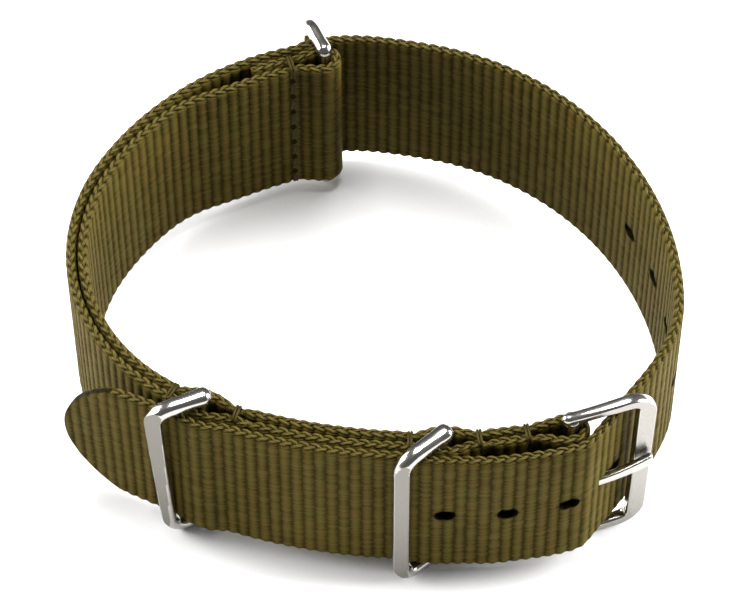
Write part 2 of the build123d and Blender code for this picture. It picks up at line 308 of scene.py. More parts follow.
rib_pitch = 1.22
rib_depth = 0.12
rib_power = 2.4
rib_fade = 0.9
edge_inset = 0.2
edge_round = 0.35
edge_angles = np.radians([65, 25, -25, -65])
face_rows = np.array([0, 0.2, 0.45, 0.8, 1.4, 2.6, 4.4, 6.4, 8.2, 9.4, 10.0])
column_step = 0.2
hole_margin = 0.06
hole_columns = 23
tip_columns = 40
hole_spread = 2.6
least_opening = 0.01
rim_reach = 0.2
tip_seal = 0.13
pinch_depth = 0.24
pinch_reach = 0.55
uneven_height = 0.03
uneven_reach = 9.7

body_half = web_width / 2 - edge_inset
tip_reach = tip_radius - math.sqrt(tip_radius**2 - body_half**2)

# Half a cross-section, from the middle of the outer face round the edge to that of the inner face
section_height = np.concatenate(
    [face_rows, body_half - edge_round * (1 - np.cos(edge_angles)), face_rows[::-1]]
)
face_offset = np.full(len(face_rows), web_thickness / 2)
section_offset = np.concatenate([face_offset, web_thickness / 2 * np.sin(edge_angles), -face_offset])
section_side = np.sign(section_offset)

wave_height = 0.05
main_wave_reach = 6.3
drift_height = 0.35
drift_at = 4.0
drift_reach = 16.0
lean_length = 14.0
lean_amount = 1.9
lean_power = 0.9
lean_share = 0.72
lean_upwards = 0.5
lean_back = 0.45


def main_shift(at, up):
    """Lift and outward shift of the main strap, which isn't drawn up square everywhere. It rises and
    falls as a slow sine, and lies higher by a bell curve where it leaves the buckle. The last part
    of the tail leans outwards by amount * way ** 0.9, with way going from 0 to 1 at the tip, more
    at its top than at its bottom, and is drawn back by a part of that."""
    past_buckle = at - wrap_begins - drift_at
    lift = wave_height * np.sin(at / main_wave_reach)
    lift = lift + drift_height * np.exp(-((past_buckle / drift_reach) ** 2))
    way = ((at - main_length + lean_length) / lean_length).clip(0)
    lean = lean_amount * way**lean_power * (lean_share + lean_upwards * up / web_width)
    return lift, lean * (1 + lean_back * 1j)


def mesh_object(name, points, faces, smooth=True, **attributes):
    """An object at the origin from points in millimetres and a list of face index arrays."""
    mesh = bpy.data.meshes.new(name)
    mesh.from_pydata((points * millimetre).tolist(), [], np.concatenate(faces).tolist())
    for title, values in attributes.items():
        kind, field = ("FLOAT_VECTOR", "vector") if values.ndim == 2 else ("FLOAT", "value")
        layer = mesh.attributes.new(title, kind, "POINT")
        layer.data.foreach_set(field, values.astype(np.float32).ravel())
    mesh.polygons.foreach_set("use_smooth", np.full(len(mesh.polygons), smooth))
    made = bpy.data.objects.new(name, mesh)
    bpy.context.scene.collection.objects.link(made)
    return made


def bridge(first, second):
    """Quads between two rows of vertex indices of equal length."""
    return np.stack([first[:-1], first[1:], second[1:], second[:-1]], 1)


weld_distance = 0.002 * millimetre


def weld(made):
    """Joins vertices that lie on one another, and points the faces outwards."""
    work = bmesh.new()
    work.from_mesh(made.data)
    bmesh.ops.remove_doubles(work, verts=work.verts, dist=weld_distance)
    bmesh.ops.dissolve_degenerate(work, edges=work.edges, dist=weld_distance / 2)
    bmesh.ops.recalc_face_normals(work, faces=work.faces)
    work.to_mesh(made.data)
    work.free()


def drawn_in(at, rows):
    """How far rows of stitches draw a web in at distances along it, a bell curve about each row."""
    return sum(np.exp(-(((at - row) / pinch_reach) ** 2)) for row in rows)


def web_columns(length, holes, tip):
    """Distances along a web of its cross-sections. They are evenly spaced, but at a hole they follow
    the cosine of equal angles from end to end, and at a round tip that of its own arc."""
    columns = np.arange(0, length, column_step)
    for hole, wide in holes:
        columns = columns[abs(columns - hole) > wide / 2 + hole_margin]
        turn = np.linspace(0, np.pi, hole_columns)
        columns = np.append(columns, hole - wide / 2 * np.cos(turn))
    if tip:
        columns = columns[columns < length - tip_reach]
        turn = np.linspace(0, np.arccos(1 - tip_reach / tip_radius), tip_columns)
        columns = np.append(columns, length - tip_radius * (1 - np.cos(turn)))
    return np.unique(np.append(columns, length).round(6))


def web(name, route, holes, rows, tip, shift):
    """A ribbed web along a route, in an upper and a lower half. Between ribs each face is lower by
    rib_depth * |2 frac(s / pitch) - 1| ** 2.4, rows of stitches press it in along a bell curve,
    and a hole parts the two halves and pushes what is beside it away by (1 - v / spread) ** 2."""
    length = length_of(route)
    columns = web_columns(length, holes, tip)
    point, heading = along(route, columns)
    normal = heading * 1j
    half_width = np.full(len(columns), body_half)
    in_tip = (tip_radius - (length - columns)).clip(0)
    if tip:
        half_width = np.minimum(half_width, np.sqrt((tip_radius**2 - in_tip**2).clip(0)))
    opening = np.zeros(len(columns))
    near_hole = np.zeros(len(columns), bool)
    for hole, wide in holes:
        beside = (abs(columns - hole) - (wide - hole_height) / 2).clip(0)
        opening = np.maximum(opening, np.sqrt(((hole_height / 2) ** 2 - beside**2).clip(0)))
        near_hole |= abs(columns - hole) < wide / 2 + rim_reach
    pinch = drawn_in(columns, rows)

    phase = columns[:, None] / rib_pitch + 0.5 * (section_side < 0)
    ridge = 1 - abs(2 * (phase % 1) - 1) ** rib_power
    on_face = np.clip((body_half - section_height) / rib_fade, 0, 1)
    lift = rib_depth * (ridge - 1) * on_face - pinch_depth * pinch[:, None]
    lift += uneven_height * np.sin(columns / uneven_reach + 1)[:, None]
    offset = section_offset + section_side * lift * abs(section_offset) / (web_thickness / 2)
    height = section_height * half_width[:, None] / body_half
    height = height + opening[:, None] * ((1 - height / hole_spread).clip(0)) ** 2
    inside = np.maximum(opening[:-1], opening[1:]) > least_opening
    half_section = len(section_height) // 2

    points, faces, weave, melted, pinched = [], [], [], [], []
    for turn in (1, -1):
        lifted, leaned = shift(columns[:, None], turn * height)
        plan = point[:, None] + normal[:, None] * (offset + leaned)
        upright = middle_height + turn * height + lifted
        index = len(points) * offset.size + np.arange(offset.size).reshape(offset.shape)
        points.append(np.stack([plan.real, plan.imag, upright], -1).reshape(-1, 3))
        quads = np.stack([index[:-1, :-1], index[1:, :-1], index[1:, 1:], index[:-1, 1:]], -1).reshape(-1, 4)
        wall = bridge(index[:, -1], index[:, 0])[inside]
        faces += [quads[:, ::-turn], wall[:, ::-turn]]
        for end in (index[0], index[-1]):
            faces.append(bridge(end[:half_section], end[::-1][:half_section]))
        on_web = np.broadcast_arrays(columns[:, None], turn * height, section_side)
        weave.append(np.stack(on_web, -1).reshape(-1, 3))
        to_hole = np.where(near_hole[:, None], abs(height) - opening[:, None], np.inf)
        sealed = np.exp(-((to_hole / rim_reach) ** 2))
        if tip:
            to_cut = (tip_radius - np.hypot(in_tip[:, None], height)).clip(0)
            sealed = np.maximum(sealed, np.exp(-((to_cut / tip_seal) ** 2)) * (in_tip[:, None] > 0))
        melted.append(sealed.ravel())
        pinched.append(np.broadcast_to(pinch[:, None], offset.shape).ravel())
    made = mesh_object(
        name, np.concatenate(points), faces,
        weave=np.concatenate(weave), melted=np.concatenate(melted), pinched=np.concatenate(pinched),
    )
    weld(made)
    return made


main_strap = web("main_strap_web", main_route, main_holes, main_rows, True, main_shift)

# Nylon web material
# Olive yarn with a satin gloss, greener on some ribs and browner on others. Fine warp yarns cross
# each rib, lighter and darker by turns, with painted shade between them and in the valleys between
# ribs. Needle holes are black dots of painted shade, and melted nylon is dark and smooth.
green_ridge_colour = (0.089, 0.077, 0.0155, 1)
brown_ridge_colour = (0.102, 0.065, 0.0155, 1)
# Painted shade of the rib valleys and yarn gaps, which is also the darkest tone of dark yarns
valley_shade_and_dark_tone_colour = (0.027, 0.0205, 0.0035, 1)
# Melted nylon's own dark colour, also used as the painted shade of needle holes
melted_and_hole_shade_colour = (0.006, 0.005, 0.002, 1)
ridge_roughness = 0.42
valley_rougher = 0.25
rib_groove = 0.5
warp_groove = 0.45
fibre_rise = 0.25
web_bump_strength = 0.9
web_bump_distance = 0.13 * millimetre
warp_pitch = 0.27
warp_wobble = 0.9
warp_slant = 0.5
wobble_scale = 900.0
# Weights of the painted shade in the gaps between warp yarns
warp_gap_shade_rise = 0.5
warp_gap_shade_least = 0.08
# Painted shade in the valleys, lighter or darker by each yarn's own tone
valley_shade = 0.6
valley_tone = 0.45
ridge_tone = 0.34
ridge_shade = -0.06
patch_scale = 90.0
patch_contrast = 0.5
tint_rib_step = 5.7
tint_reach = 0.18
tint_contrast = 1.6
needle_pitch = 2.85
needle_pinch = 0.9
needle_contrast = 9.0
needle_offset = -13.4
# Painted shade of needle holes, black dots along the rows of stitches
needle_hole_shade = 0.9


def add(tree, kind, links=None, **settings):
    """Adds a node. Settings set its properties, and links gives its inputs values or sockets."""
    made = tree.nodes.new(kind)
    for title, value in settings.items():
        setattr(made, title, value)
    for socket, value in (links or {}).items():
        if isinstance(value, bpy.types.NodeSocket):
            tree.links.new(value, made.inputs[socket])
        else:
            made.inputs[socket].default_value = value
    return made


def maths(tree, operation, first, second=0.0, third=0.0, clamp=False):
    """Output of one Math node."""
    links = {0: first, 1: second, 2: third}
    return add(tree, "ShaderNodeMath", links, operation=operation, use_clamp=clamp).outputs[0]


def scaled(tree, value, factor, more, clamp=False):
    """A value times a factor, plus more."""
    return maths(tree, "MULTIPLY_ADD", value, factor, more, clamp)


def zigzag(tree, value):
    """|2 frac(value) - 1|, which is 1 at each whole number and 0 halfway between."""
    return maths(tree, "ABSOLUTE", scaled(tree, maths(tree, "FRACT", value), 2.0, -1.0))


def attribute(tree, name, output="Fac"):
    """Output of a node that reads a piece's own attribute."""
    return add(tree, "ShaderNodeAttribute", attribute_name=name).outputs[output]


def object_place(tree):
    """Object coordinates, in metres."""
    return add(tree, "ShaderNodeTexCoord").outputs["Object"]


def noise(tree, at, scale, detail):
    """A noise between 0 and 1, so many lumps to a unit."""
    return add(tree, "ShaderNodeTexNoise", {"Vector": at, "Scale": scale, "Detail": detail}).outputs["Fac"]


def joined(tree, *values):
    """A vector of three values."""
    return add(tree, "ShaderNodeCombineXYZ", dict(enumerate(values))).outputs[0]


def blended(tree, factor, first, second):
    """Colour between two colours."""
    return add(tree, "ShaderNodeMix", {0: factor, 6: first, 7: second}, data_type="RGBA").outputs[2]


def bumped(tree, shader, height, strength, distance):
    """Feeds a shader's normal from a height that counts for a distance in metres."""
    bump = add(tree, "ShaderNodeBump", {"Strength": strength, "Distance": distance, "Height": height})
    tree.links.new(bump.outputs[0], shader.inputs["Normal"])


def new_material(name, **shader):
    """A node material and its Principled shader, with constants set on the shader's own sockets."""
    made = bpy.data.materials.new(name)
    made.use_nodes = True
    principled = made.node_tree.nodes["Principled BSDF"]
    for title, value in shader.items():
        principled.inputs[title.replace("_", " ")].default_value = value
    return made, made.node_tree, principled


nylon, tree, shader = new_material(
    "nylon_web", IOR=1.3, Specular_IOR_Level=0.03, Specular_Tint=(1.0, 0.82, 0.25, 1)
)
on_web, up_web, side_web = add(tree, "ShaderNodeSeparateXYZ", {0: attribute(tree, "weave", "Vector")}).outputs

# Ribs run across the web, and those of the inner face lie between those of the outer face
inner_face = maths(tree, "LESS_THAN", side_web, 0.0)
rib = scaled(tree, inner_face, 0.5, maths(tree, "DIVIDE", on_web, rib_pitch))
from_ridge = zigzag(tree, rib)
# Depth into the valley, for the bump and for the painted shade of the valleys
depth = maths(tree, "POWER", from_ridge, 2.0)

# Warp yarns run along it, slanted a little over each rib, and each has its own tone on each rib
wobble = noise(tree, object_place(tree), wobble_scale, 2.0)
warp = scaled(tree, wobble, warp_wobble, maths(tree, "DIVIDE", up_web, warp_pitch))
warp = scaled(tree, maths(tree, "FRACT", rib), warp_slant, warp)
between_warps = maths(tree, "POWER", zigzag(tree, warp), 2.0)
cell = joined(tree, maths(tree, "FLOOR", rib), maths(tree, "FLOOR", warp), side_web)
yarn_tone = add(tree, "ShaderNodeTexWhiteNoise", {"Vector": cell}).outputs["Value"]

# Painted shade in the valleys and between yarns, plus the own tone of dark yarns and wide patches
# Painted shade in the gaps between warp yarns, deeper towards the valleys
warp_gap_shade = maths(tree, "MULTIPLY", between_warps, scaled(tree, from_ridge, warp_gap_shade_rise, warp_gap_shade_least))
shade = scaled(tree, depth, scaled(tree, yarn_tone, valley_tone, valley_shade), warp_gap_shade, clamp=True)
shade = maths(tree, "ADD", shade, scaled(tree, yarn_tone, ridge_tone, ridge_shade), clamp=True)
patches = noise(tree, object_place(tree), patch_scale, 3.0)
patches = scaled(tree, patches, patch_contrast, -patch_contrast / 2)
shade = maths(tree, "ADD", shade, patches, clamp=True)

# Painted shade of needle holes, where the web is drawn in and the rows of stitches go down
needle = zigzag(tree, maths(tree, "DIVIDE", up_web, needle_pitch))
needle = scaled(tree, attribute(tree, "pinched"), needle_pinch, needle)
needle = scaled(tree, needle, needle_contrast, needle_offset, clamp=True)
melted = maths(tree, "MULTIPLY", attribute(tree, "melted"), 1.0, clamp=True)
# Melted nylon is dark itself, and the needle holes are painted shade in the same colour
sealed = maths(tree, "MAXIMUM", melted, maths(tree, "MULTIPLY", needle, needle_hole_shade))

tint_at = maths(tree, "MULTIPLY", maths(tree, "FLOOR", rib), tint_rib_step)
tint_at = joined(tree, tint_at, maths(tree, "MULTIPLY", up_web, tint_reach), side_web)
tint = scaled(tree, noise(tree, tint_at, 1.0, 1.0), tint_contrast, (1 - tint_contrast) / 2, clamp=True)
ridge_colour = blended(tree, tint, green_ridge_colour, brown_ridge_colour)
# Painted shade and the yarns' own tone take the ridge colour towards the dark colour
colour = blended(tree, shade, ridge_colour, valley_shade_and_dark_tone_colour)
colour = blended(tree, sealed, colour, melted_and_hole_shade_colour)
tree.links.new(colour, shader.inputs["Base Color"])
tree.links.new(scaled(tree, shade, valley_rougher, ridge_roughness), shader.inputs["Roughness"])
height = scaled(tree, between_warps, -warp_groove, maths(tree, "MULTIPLY", depth, -rib_groove))
height = scaled(tree, wobble, fibre_rise, height)
bumped(tree, shader, height, web_bump_strength, web_bump_distance)

main_strap.data.materials.append(nylon)
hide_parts("main_strap")
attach(main_strap, "strap")

# Edges of the main strap
# Along both edges the loom closes the web with a crocheted chain. It looks like a flat plait of
# three yarns that lies on the edge, one bend of it to each rib.
plait_period = 3 * rib_pitch
plait_reach = 0.33
plait_rise = 0.15
plait_dent = 0.28
plait_margin = 0.3
yarn_wide = 0.155
yarn_high = 0.12
yarn_end = 0.3
yarn_sides = 7
yarn_step = 0.2
edge_light = (0.094, 0.073, 0.018, 1)
# Painted shade in the yarn's grooves and where a strand is sunk, with random fuzz in the same colour
edge_shade_and_fuzz = (0.004, 0.003, 0.0006, 1)
edge_twists = 1.9
plies = 3.0
fuzz_scale = 1400.0
fuzz_twist = 0.7
fuzz_shade = 0.5
groove_shade = 0.5
sunk_power = 1.5
sunk_shade = 0.95
proud_shade = -0.25
yarn_bump_strength = 0.6
yarn_bump_distance = 0.08 * millimetre

# The yarn's shade: painted shade in the grooves of its twist and where a strand sinks under others, with
# random fuzz
yarn_group = bpy.data.node_groups.new("twisted_yarn", "ShaderNodeTree")
yarn_group.interface.new_socket(name="Twists", in_out="INPUT", socket_type="NodeSocketFloat")
yarn_group.interface.new_socket(name="Shade", in_out="OUTPUT", socket_type="NodeSocketFloat")
yarn_group.interface.new_socket(name="Height", in_out="OUTPUT", socket_type="NodeSocketFloat")
entry = add(yarn_group, "NodeGroupInput")
leave = add(yarn_group, "NodeGroupOutput")
on_yarn, round_yarn, sunk = add(
    yarn_group, "ShaderNodeSeparateXYZ", {0: attribute(yarn_group, "yarn", "Vector")}
).outputs
fuzz = noise(yarn_group, object_place(yarn_group), fuzz_scale, 2.0)
twist = maths(yarn_group, "MULTIPLY", on_yarn, entry.outputs["Twists"])
twist = scaled(yarn_group, fuzz, fuzz_twist, scaled(yarn_group, round_yarn, plies, twist))
groove = maths(yarn_group, "POWER", zigzag(yarn_group, twist), 2.0)
yarn_shade = scaled(yarn_group, maths(yarn_group, "POWER", sunk, sunk_power), sunk_shade, proud_shade)
yarn_shade = scaled(yarn_group, fuzz, fuzz_shade, yarn_shade)
yarn_shade = scaled(yarn_group, groove, groove_shade, yarn_shade, clamp=True)
yarn_group.links.new(yarn_shade, leave.inputs["Shade"])
yarn_group.links.new(maths(yarn_group, "MULTIPLY", groove, -1.0), leave.inputs["Height"])


def yarn_material(name, light, dark, twists):
    """Yarn of a light colour, darkened towards a dark one by painted shade in its grooves and where it
    is sunk, and by random fuzz. It is twisted so many times in a millimetre.
    """
    made, tree, shader = new_material(
        name, IOR=1.35, Specular_IOR_Level=0.25, Specular_Tint=(1.0, 0.85, 0.35, 1), Roughness=0.45
    )
    group = add(tree, "ShaderNodeGroup", node_tree=yarn_group)
    group.inputs["Twists"].default_value = twists
    tree.links.new(blended(tree, group.outputs["Shade"], light, dark), shader.inputs["Base Color"])
    bumped(tree, shader, group.outputs["Height"], yarn_bump_strength, yarn_bump_distance)
    return made


def tube(line, across, up, wide, high):
    """Points of a yarn about a line: the line plus cos(angle) * wide across and sin(angle) * high up."""
    angle = np.linspace(0, 2 * np.pi, yarn_sides, endpoint=False)[None, :, None]
    ring = np.cos(angle) * (across * wide)[:, None] + np.sin(angle) * (up * high)[:, None]
    return (line[:, None] + ring).reshape(-1, 3)


def tube_faces(count, sides, base=0, endless=False):
    """Quads of a tube of rings. An endless tube also joins its last ring to its first."""
    index = base + np.arange(count * sides).reshape(count, sides)
    if endless:
        index = np.concatenate([index, index[:1]])
    after = np.roll(index, -1, 1)
    return np.stack([index[:-1], index[1:], after[1:], after[:-1]], -1).reshape(-1, 4)


def yarn_place(on_line, sunk):
    """The yarn attribute: way along the line, share of a turn round it, and how deep it is sunk."""
    round_line = np.tile(np.arange(yarn_sides) / yarn_sides, len(on_line))
    return np.stack([np.repeat(on_line, yarn_sides), round_line, np.repeat(sunk, yarn_sides)], -1)


def plait(name, route, rows, up_side, start, end, shift):
    """Three yarns along an edge. Yarn k swings across the edge as reach * sin(t) and up as
    rise * sin(2 t), with t one turn in each period, a third of a turn after the yarn before it.
    Both ends taper to a point as the square root of the way to them."""
    at = np.arange(start, end, yarn_step)
    taper = np.sqrt((np.minimum(at - at[0], at[-1] - at) / yarn_end).clip(0, 1))[:, None]
    dent = drawn_in(at, rows)
    point, heading = along(route, at)
    lifted, leaned = shift(at, up_side * web_width / 2)
    points, faces, yarn = [], [], []
    for strand in range(3):
        turn = 2 * np.pi * (at / plait_period + strand / 3)
        swing = point + heading * 1j * (plait_reach * np.sin(turn) * (1 - dent / 2) + leaned)
        top = web_width / 2 - edge_inset + plait_rise * np.sin(2 * turn) - plait_dent * dent
        line = np.stack([swing.real, swing.imag, middle_height + lifted + up_side * top], -1)
        ahead = np.gradient(line, axis=0)
        ahead /= np.linalg.norm(ahead, axis=1)[:, None]
        up = np.array([0, 0, 1.0]) - ahead * ahead[:, 2:]
        up /= np.linalg.norm(up, axis=1)[:, None]
        faces.append(tube_faces(len(at), yarn_sides, strand * len(at) * yarn_sides))
        points.append(tube(line, np.cross(ahead, up), up, yarn_wide * taper, yarn_high * taper))
        # How deep each strand is sunk, which the yarn material paints as shade
        yarn.append(yarn_place(at, 0.5 - np.sin(2 * turn) / 2))
    made = mesh_object(name, np.concatenate(points), faces, yarn=np.concatenate(yarn))
    weld(made)
    made.data.materials.append(edge_yarn)
    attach(made, "strap")


edge_yarn = yarn_material("edge_yarn", edge_light, edge_shade_and_fuzz, edge_twists)
tip_begins = main_length - tip_reach
plait("main_strap_upper_edge", main_route, main_rows, 1, plait_margin, tip_begins, main_shift)
plait("main_strap_lower_edge", main_route, main_rows, -1, plait_margin, tip_begins, main_shift)

# Under strap
# The same web, sewn to the end of the main strap under the far keeper. It is folded outwards round
# the bar of the end ring and sewn down, and its loose end shows behind the seam.
under_end_row = 0.4
under_wave_reach = 7.1
ring_bar = place(ring_at, ring_bar_rise)
ring_outward = outward(ring_at)
ring_heading = ring_outward * -1j
under_leg = [
    stop(far_right_row, inner_rise),
    stop(far_keeper_at, seam_rise - tunnel_radius),
    stop(far_left_row, inner_rise),
    *steady(far_left_row, flap_end - ring_run_in, inner_rise)[1:],
    stop(flap_end, ring_leg_rise),
    stop(ring_row, ring_leg_rise),
    (ring_bar - ring_outward * tunnel_radius, ring_heading),
]
flap_leg = [
    stop(flap_end, flap_rise),
    stop(ring_row, flap_rise),
    (ring_bar + ring_outward * tunnel_radius, ring_heading),
]
under_part = lay(under_leg)
ring_fold = [arc_to(under_leg[-1][0], ring_heading, flap_leg[-1][0])]
under_route = under_part + ring_fold + lay(turned(flap_leg))
under_length = length_of(under_route)
under_rows = [
    under_end_row,
    far_left_row - far_right_row,
    length_of(under_part) - ring_fold_row,
    length_of(under_part + ring_fold) + ring_fold_row,
]


def under_shift(at, up):
    """Lift and outward shift of the under strap. It rises and falls as a slow sine, and is square."""
    return wave_height * np.sin(at / under_wave_reach + 2), np.zeros_like(at)


under_strap = web("under_strap_web", under_route, [], under_rows, False, under_shift)
under_strap.data.materials.append(nylon)
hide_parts("under_strap")
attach(under_strap, "strap")
plait("under_strap_upper_edge", under_route, under_rows, 1, 0, under_length, under_shift)
plait("under_strap_lower_edge", under_route, under_rows, -1, 0, under_length, under_shift)

# Rows of stitches
# Thick nylon thread through both layers, drawn in hard, so that each row lies in a valley. Two
# strands go over the edges and bind them.
thread_radius = 0.15
thread_step = 0.15
thread_inset = 0.1
thread_overhang = 0.25
thread_sunk = 0.02
needle_dip = 0.5
needle_power = 8
corner_rings = 7
strand_apart = 0.19
strand_sway = 0.05
sway_rate = 2.1
thread_light = (0.036, 0.027, 0.006, 1)
# Painted shade in the grooves of the thread's twist, with random fuzz in the same colour
thread_shade_and_fuzz = (0.007, 0.005, 0.001, 1)
thread_twists = 1.4
thread = yarn_material("stitching_thread", thread_light, thread_shade_and_fuzz, thread_twists)


def stitch_row(name, at, low, high):
    """Two strands that run over both faces and round both edges of two layers. On a face a strand
    lies 0.02 + 0.5 * |cos(pi z / pitch)| ** 8 below the valley's floor, deepest at a needle hole,
    and at an edge it is half an ellipse."""
    half = web_width / 2 - thread_inset
    up = np.arange(-half, half, thread_step)
    sunk = thread_sunk + needle_dip * abs(np.cos(np.pi * up / needle_pitch)) ** needle_power
    front = high + web_thickness / 2 - pinch_depth - sunk
    back = low - web_thickness / 2 + pinch_depth + sunk
    corner = np.linspace(-np.pi / 2, np.pi / 2, corner_rings + 2)[1:-1]
    middle, reach = (front[-1] + back[-1]) / 2, (front[-1] - back[-1]) / 2
    over_edge = half + thread_overhang * np.cos(corner)
    rise = np.concatenate(
        [front, middle - reach * np.sin(corner), back[::-1], middle + reach * np.sin(corner)]
    )
    height = np.concatenate([up, over_edge, up[::-1], -over_edge])
    sideways = outward(at) * 1j
    points, faces, yarn = [], [], []
    for number, strand in enumerate((-1, 1)):
        aside = strand_apart * strand + strand_sway * np.sin(height * sway_rate + strand)
        plan = place(at, 0) + outward(at) * rise + sideways * aside
        line = np.stack([plan.real, plan.imag, middle_height + height], -1)
        ahead = np.roll(line, -1, 0) - np.roll(line, 1, 0)
        ahead /= np.linalg.norm(ahead, axis=1)[:, None]
        across = np.broadcast_to([sideways.real, sideways.imag, 0], line.shape)
        faces.append(tube_faces(len(line), yarn_sides, number * len(line) * yarn_sides, True))
        points.append(tube(line, across, np.cross(ahead, across), thread_radius, thread_radius))
        yarn.append(yarn_place(np.arange(len(line)) * thread_step, np.zeros(len(line))))
    made = mesh_object(name + "_thread", np.concatenate(points), faces, yarn=np.concatenate(yarn))
    weld(made)
    made.data.materials.append(thread)
    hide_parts(name)
    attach(made, "strap")


for name, at, low, high in (
    ("buckle_fold_stitches", buckle_fold_row, inner_rise, middle_rise),
    ("near_keeper_right_stitches", near_right_row, inner_rise, middle_rise),
    ("near_keeper_left_stitches", near_left_row, inner_rise, middle_rise),
    ("far_keeper_right_stitches", far_right_row, inner_rise, middle_rise),
    ("far_keeper_left_stitches", far_left_row, inner_rise, middle_rise),
    ("ring_fold_stitches", ring_row, ring_leg_rise, flap_rise),
):
    stitch_row(name, at, low, high)

# Steel keepers and end ring
# Stainless steel loops of forged wire. Each has a round bar in a tunnel of the web, two arms that
# end in a knob over the bar's ends, and a front bar. They are polished, and then the front bar's
# outer side is ground flat and brushed.
window_height = 22.0
arm_height = 1.7
arm_overlap = 0.2
keeper_width = 1.65
near_keeper_depth = 5.7
near_keeper_lean = 53.0
far_keeper_depth = 5.2
far_keeper_lean = 48.7
far_keeper_slant = -3.0
keeper_corners = (1.1, 3.1)
keeper_flat_share = 0.85
ring_width = 1.4
ring_depth = 4.9
ring_lean = 15.5
ring_corners = (1.7, 3.0)
ring_flat_share = 0.3
loop_squareness = 2.5
end_squareness = 2.2
squaring_power = 0.7
arm_swell = 0.14
swell_power = 0.6
knob_share = 0.08
knob_at = 0.9
knob_reach = 0.8
end_share = 0.13
end_rings = 9
arm_rings = 30
corner_turns = 25
hoop_sides = 40
rod_rings = 60
rod_sides = 24
rod_end_share = 0.7
ground_margin = 0.002
polished_colour = (0.45, 0.43, 0.40, 1)
brushed_colour = (0.17, 0.16, 0.14, 1)
ground_roughness = 0.30
polished_roughness = 0.16
brushing_scale = (9000.0, 9000.0, 350.0)
brushing_rougher = 0.2
brushing_rise = 0.8
handling_scale = 1200.0
handling_rougher = 0.08
handling_rise = 0.12
steel_bump_strength = 0.3
steel_bump_distance = 0.03 * millimetre

steel_group = bpy.data.node_groups.new("ground_and_polished", "ShaderNodeTree")
for title in ("Ground", "Roughness", "Height"):
    steel_group.interface.new_socket(name=title, in_out="OUTPUT", socket_type="NodeSocketFloat")
leave = add(steel_group, "NodeGroupOutput")
ground = attribute(steel_group, "ground")
steel_place = object_place(steel_group)
brushing = add(steel_group, "ShaderNodeMapping", {"Vector": steel_place, "Scale": brushing_scale}).outputs[0]
brushing = noise(steel_group, brushing, 1.0, 2.0)
handling = noise(steel_group, steel_place, handling_scale, 3.0)
rough_ground = scaled(steel_group, brushing, brushing_rougher, ground_roughness)
rough_polish = scaled(steel_group, handling, handling_rougher, polished_roughness)
rougher = maths(steel_group, "SUBTRACT", rough_ground, rough_polish)
lines = maths(steel_group, "MULTIPLY", brushing, ground)
lines = maths(steel_group, "MULTIPLY", lines, brushing_rise)
steel_group.links.new(ground, leave.inputs["Ground"])
steel_group.links.new(scaled(steel_group, rougher, ground, rough_polish), leave.inputs["Roughness"])
steel_group.links.new(scaled(steel_group, handling, handling_rise, lines), leave.inputs["Height"])

steel, tree, shader = new_material("stainless_steel", Metallic=1.0)
group = add(tree, "ShaderNodeGroup", node_tree=steel_group)
steel_colour = blended(tree, group.outputs["Ground"], polished_colour, brushed_colour)
tree.links.new(steel_colour, shader.inputs["Base Color"])
tree.links.new(group.outputs["Roughness"], shader.inputs["Roughness"])
bumped(tree, shader, group.outputs["Height"], steel_bump_strength, steel_bump_distance)


def outline(start, reach, half, radius):
    """U outline with two round corners, from the end of the upper arm over the middle of the front
    bar to the end of the lower arm, which mirrors the upper one. Near an arm's end its points
    follow the cosine of equal angles."""
    turn = np.linspace(0, np.pi / 2, end_rings)
    way = np.concatenate([end_share * (1 - np.cos(turn)), np.linspace(end_share, 1, arm_rings)[1:]])
    arm = start + (reach - radius - start) * way + 1j * half
    turn = np.linspace(np.pi / 2, 0, corner_turns)[1:]
    corner = reach - radius + 1j * (half - radius) + radius * np.exp(1j * turn)
    bar = reach + 1j * (half - radius) * (1 - np.linspace(0, 1, arm_rings)[1:])
    upper = np.concatenate([arm, corner, bar])
    return np.concatenate([upper, np.conj(upper[::-1])[1:]])


def slanted(in_plane, reach, slant, rise):
    """Places in a hoop's plane, sheared so that its front bar is out of true by the slant while the
    arms' ends stay over the bar: x - t * z * x / reach and z + t * x + rise, where t is its tangent."""
    share = (in_plane.real / reach).clip(0, 1)
    shear = 1j * in_plane.real - in_plane.imag * share
    return in_plane + math.tan(math.radians(slant)) * shear + 1j * rise


def superellipse(sides, power):
    """Waves sign(cos a) |cos a| ** p and sign(sin a) |sin a| ** p round a section."""
    angle = np.linspace(0, 2 * np.pi, sides, endpoint=False)
    x, y = np.cos(angle), np.sin(angle)
    return np.sign(x) * abs(x) ** power, np.sign(y) * abs(y) ** power


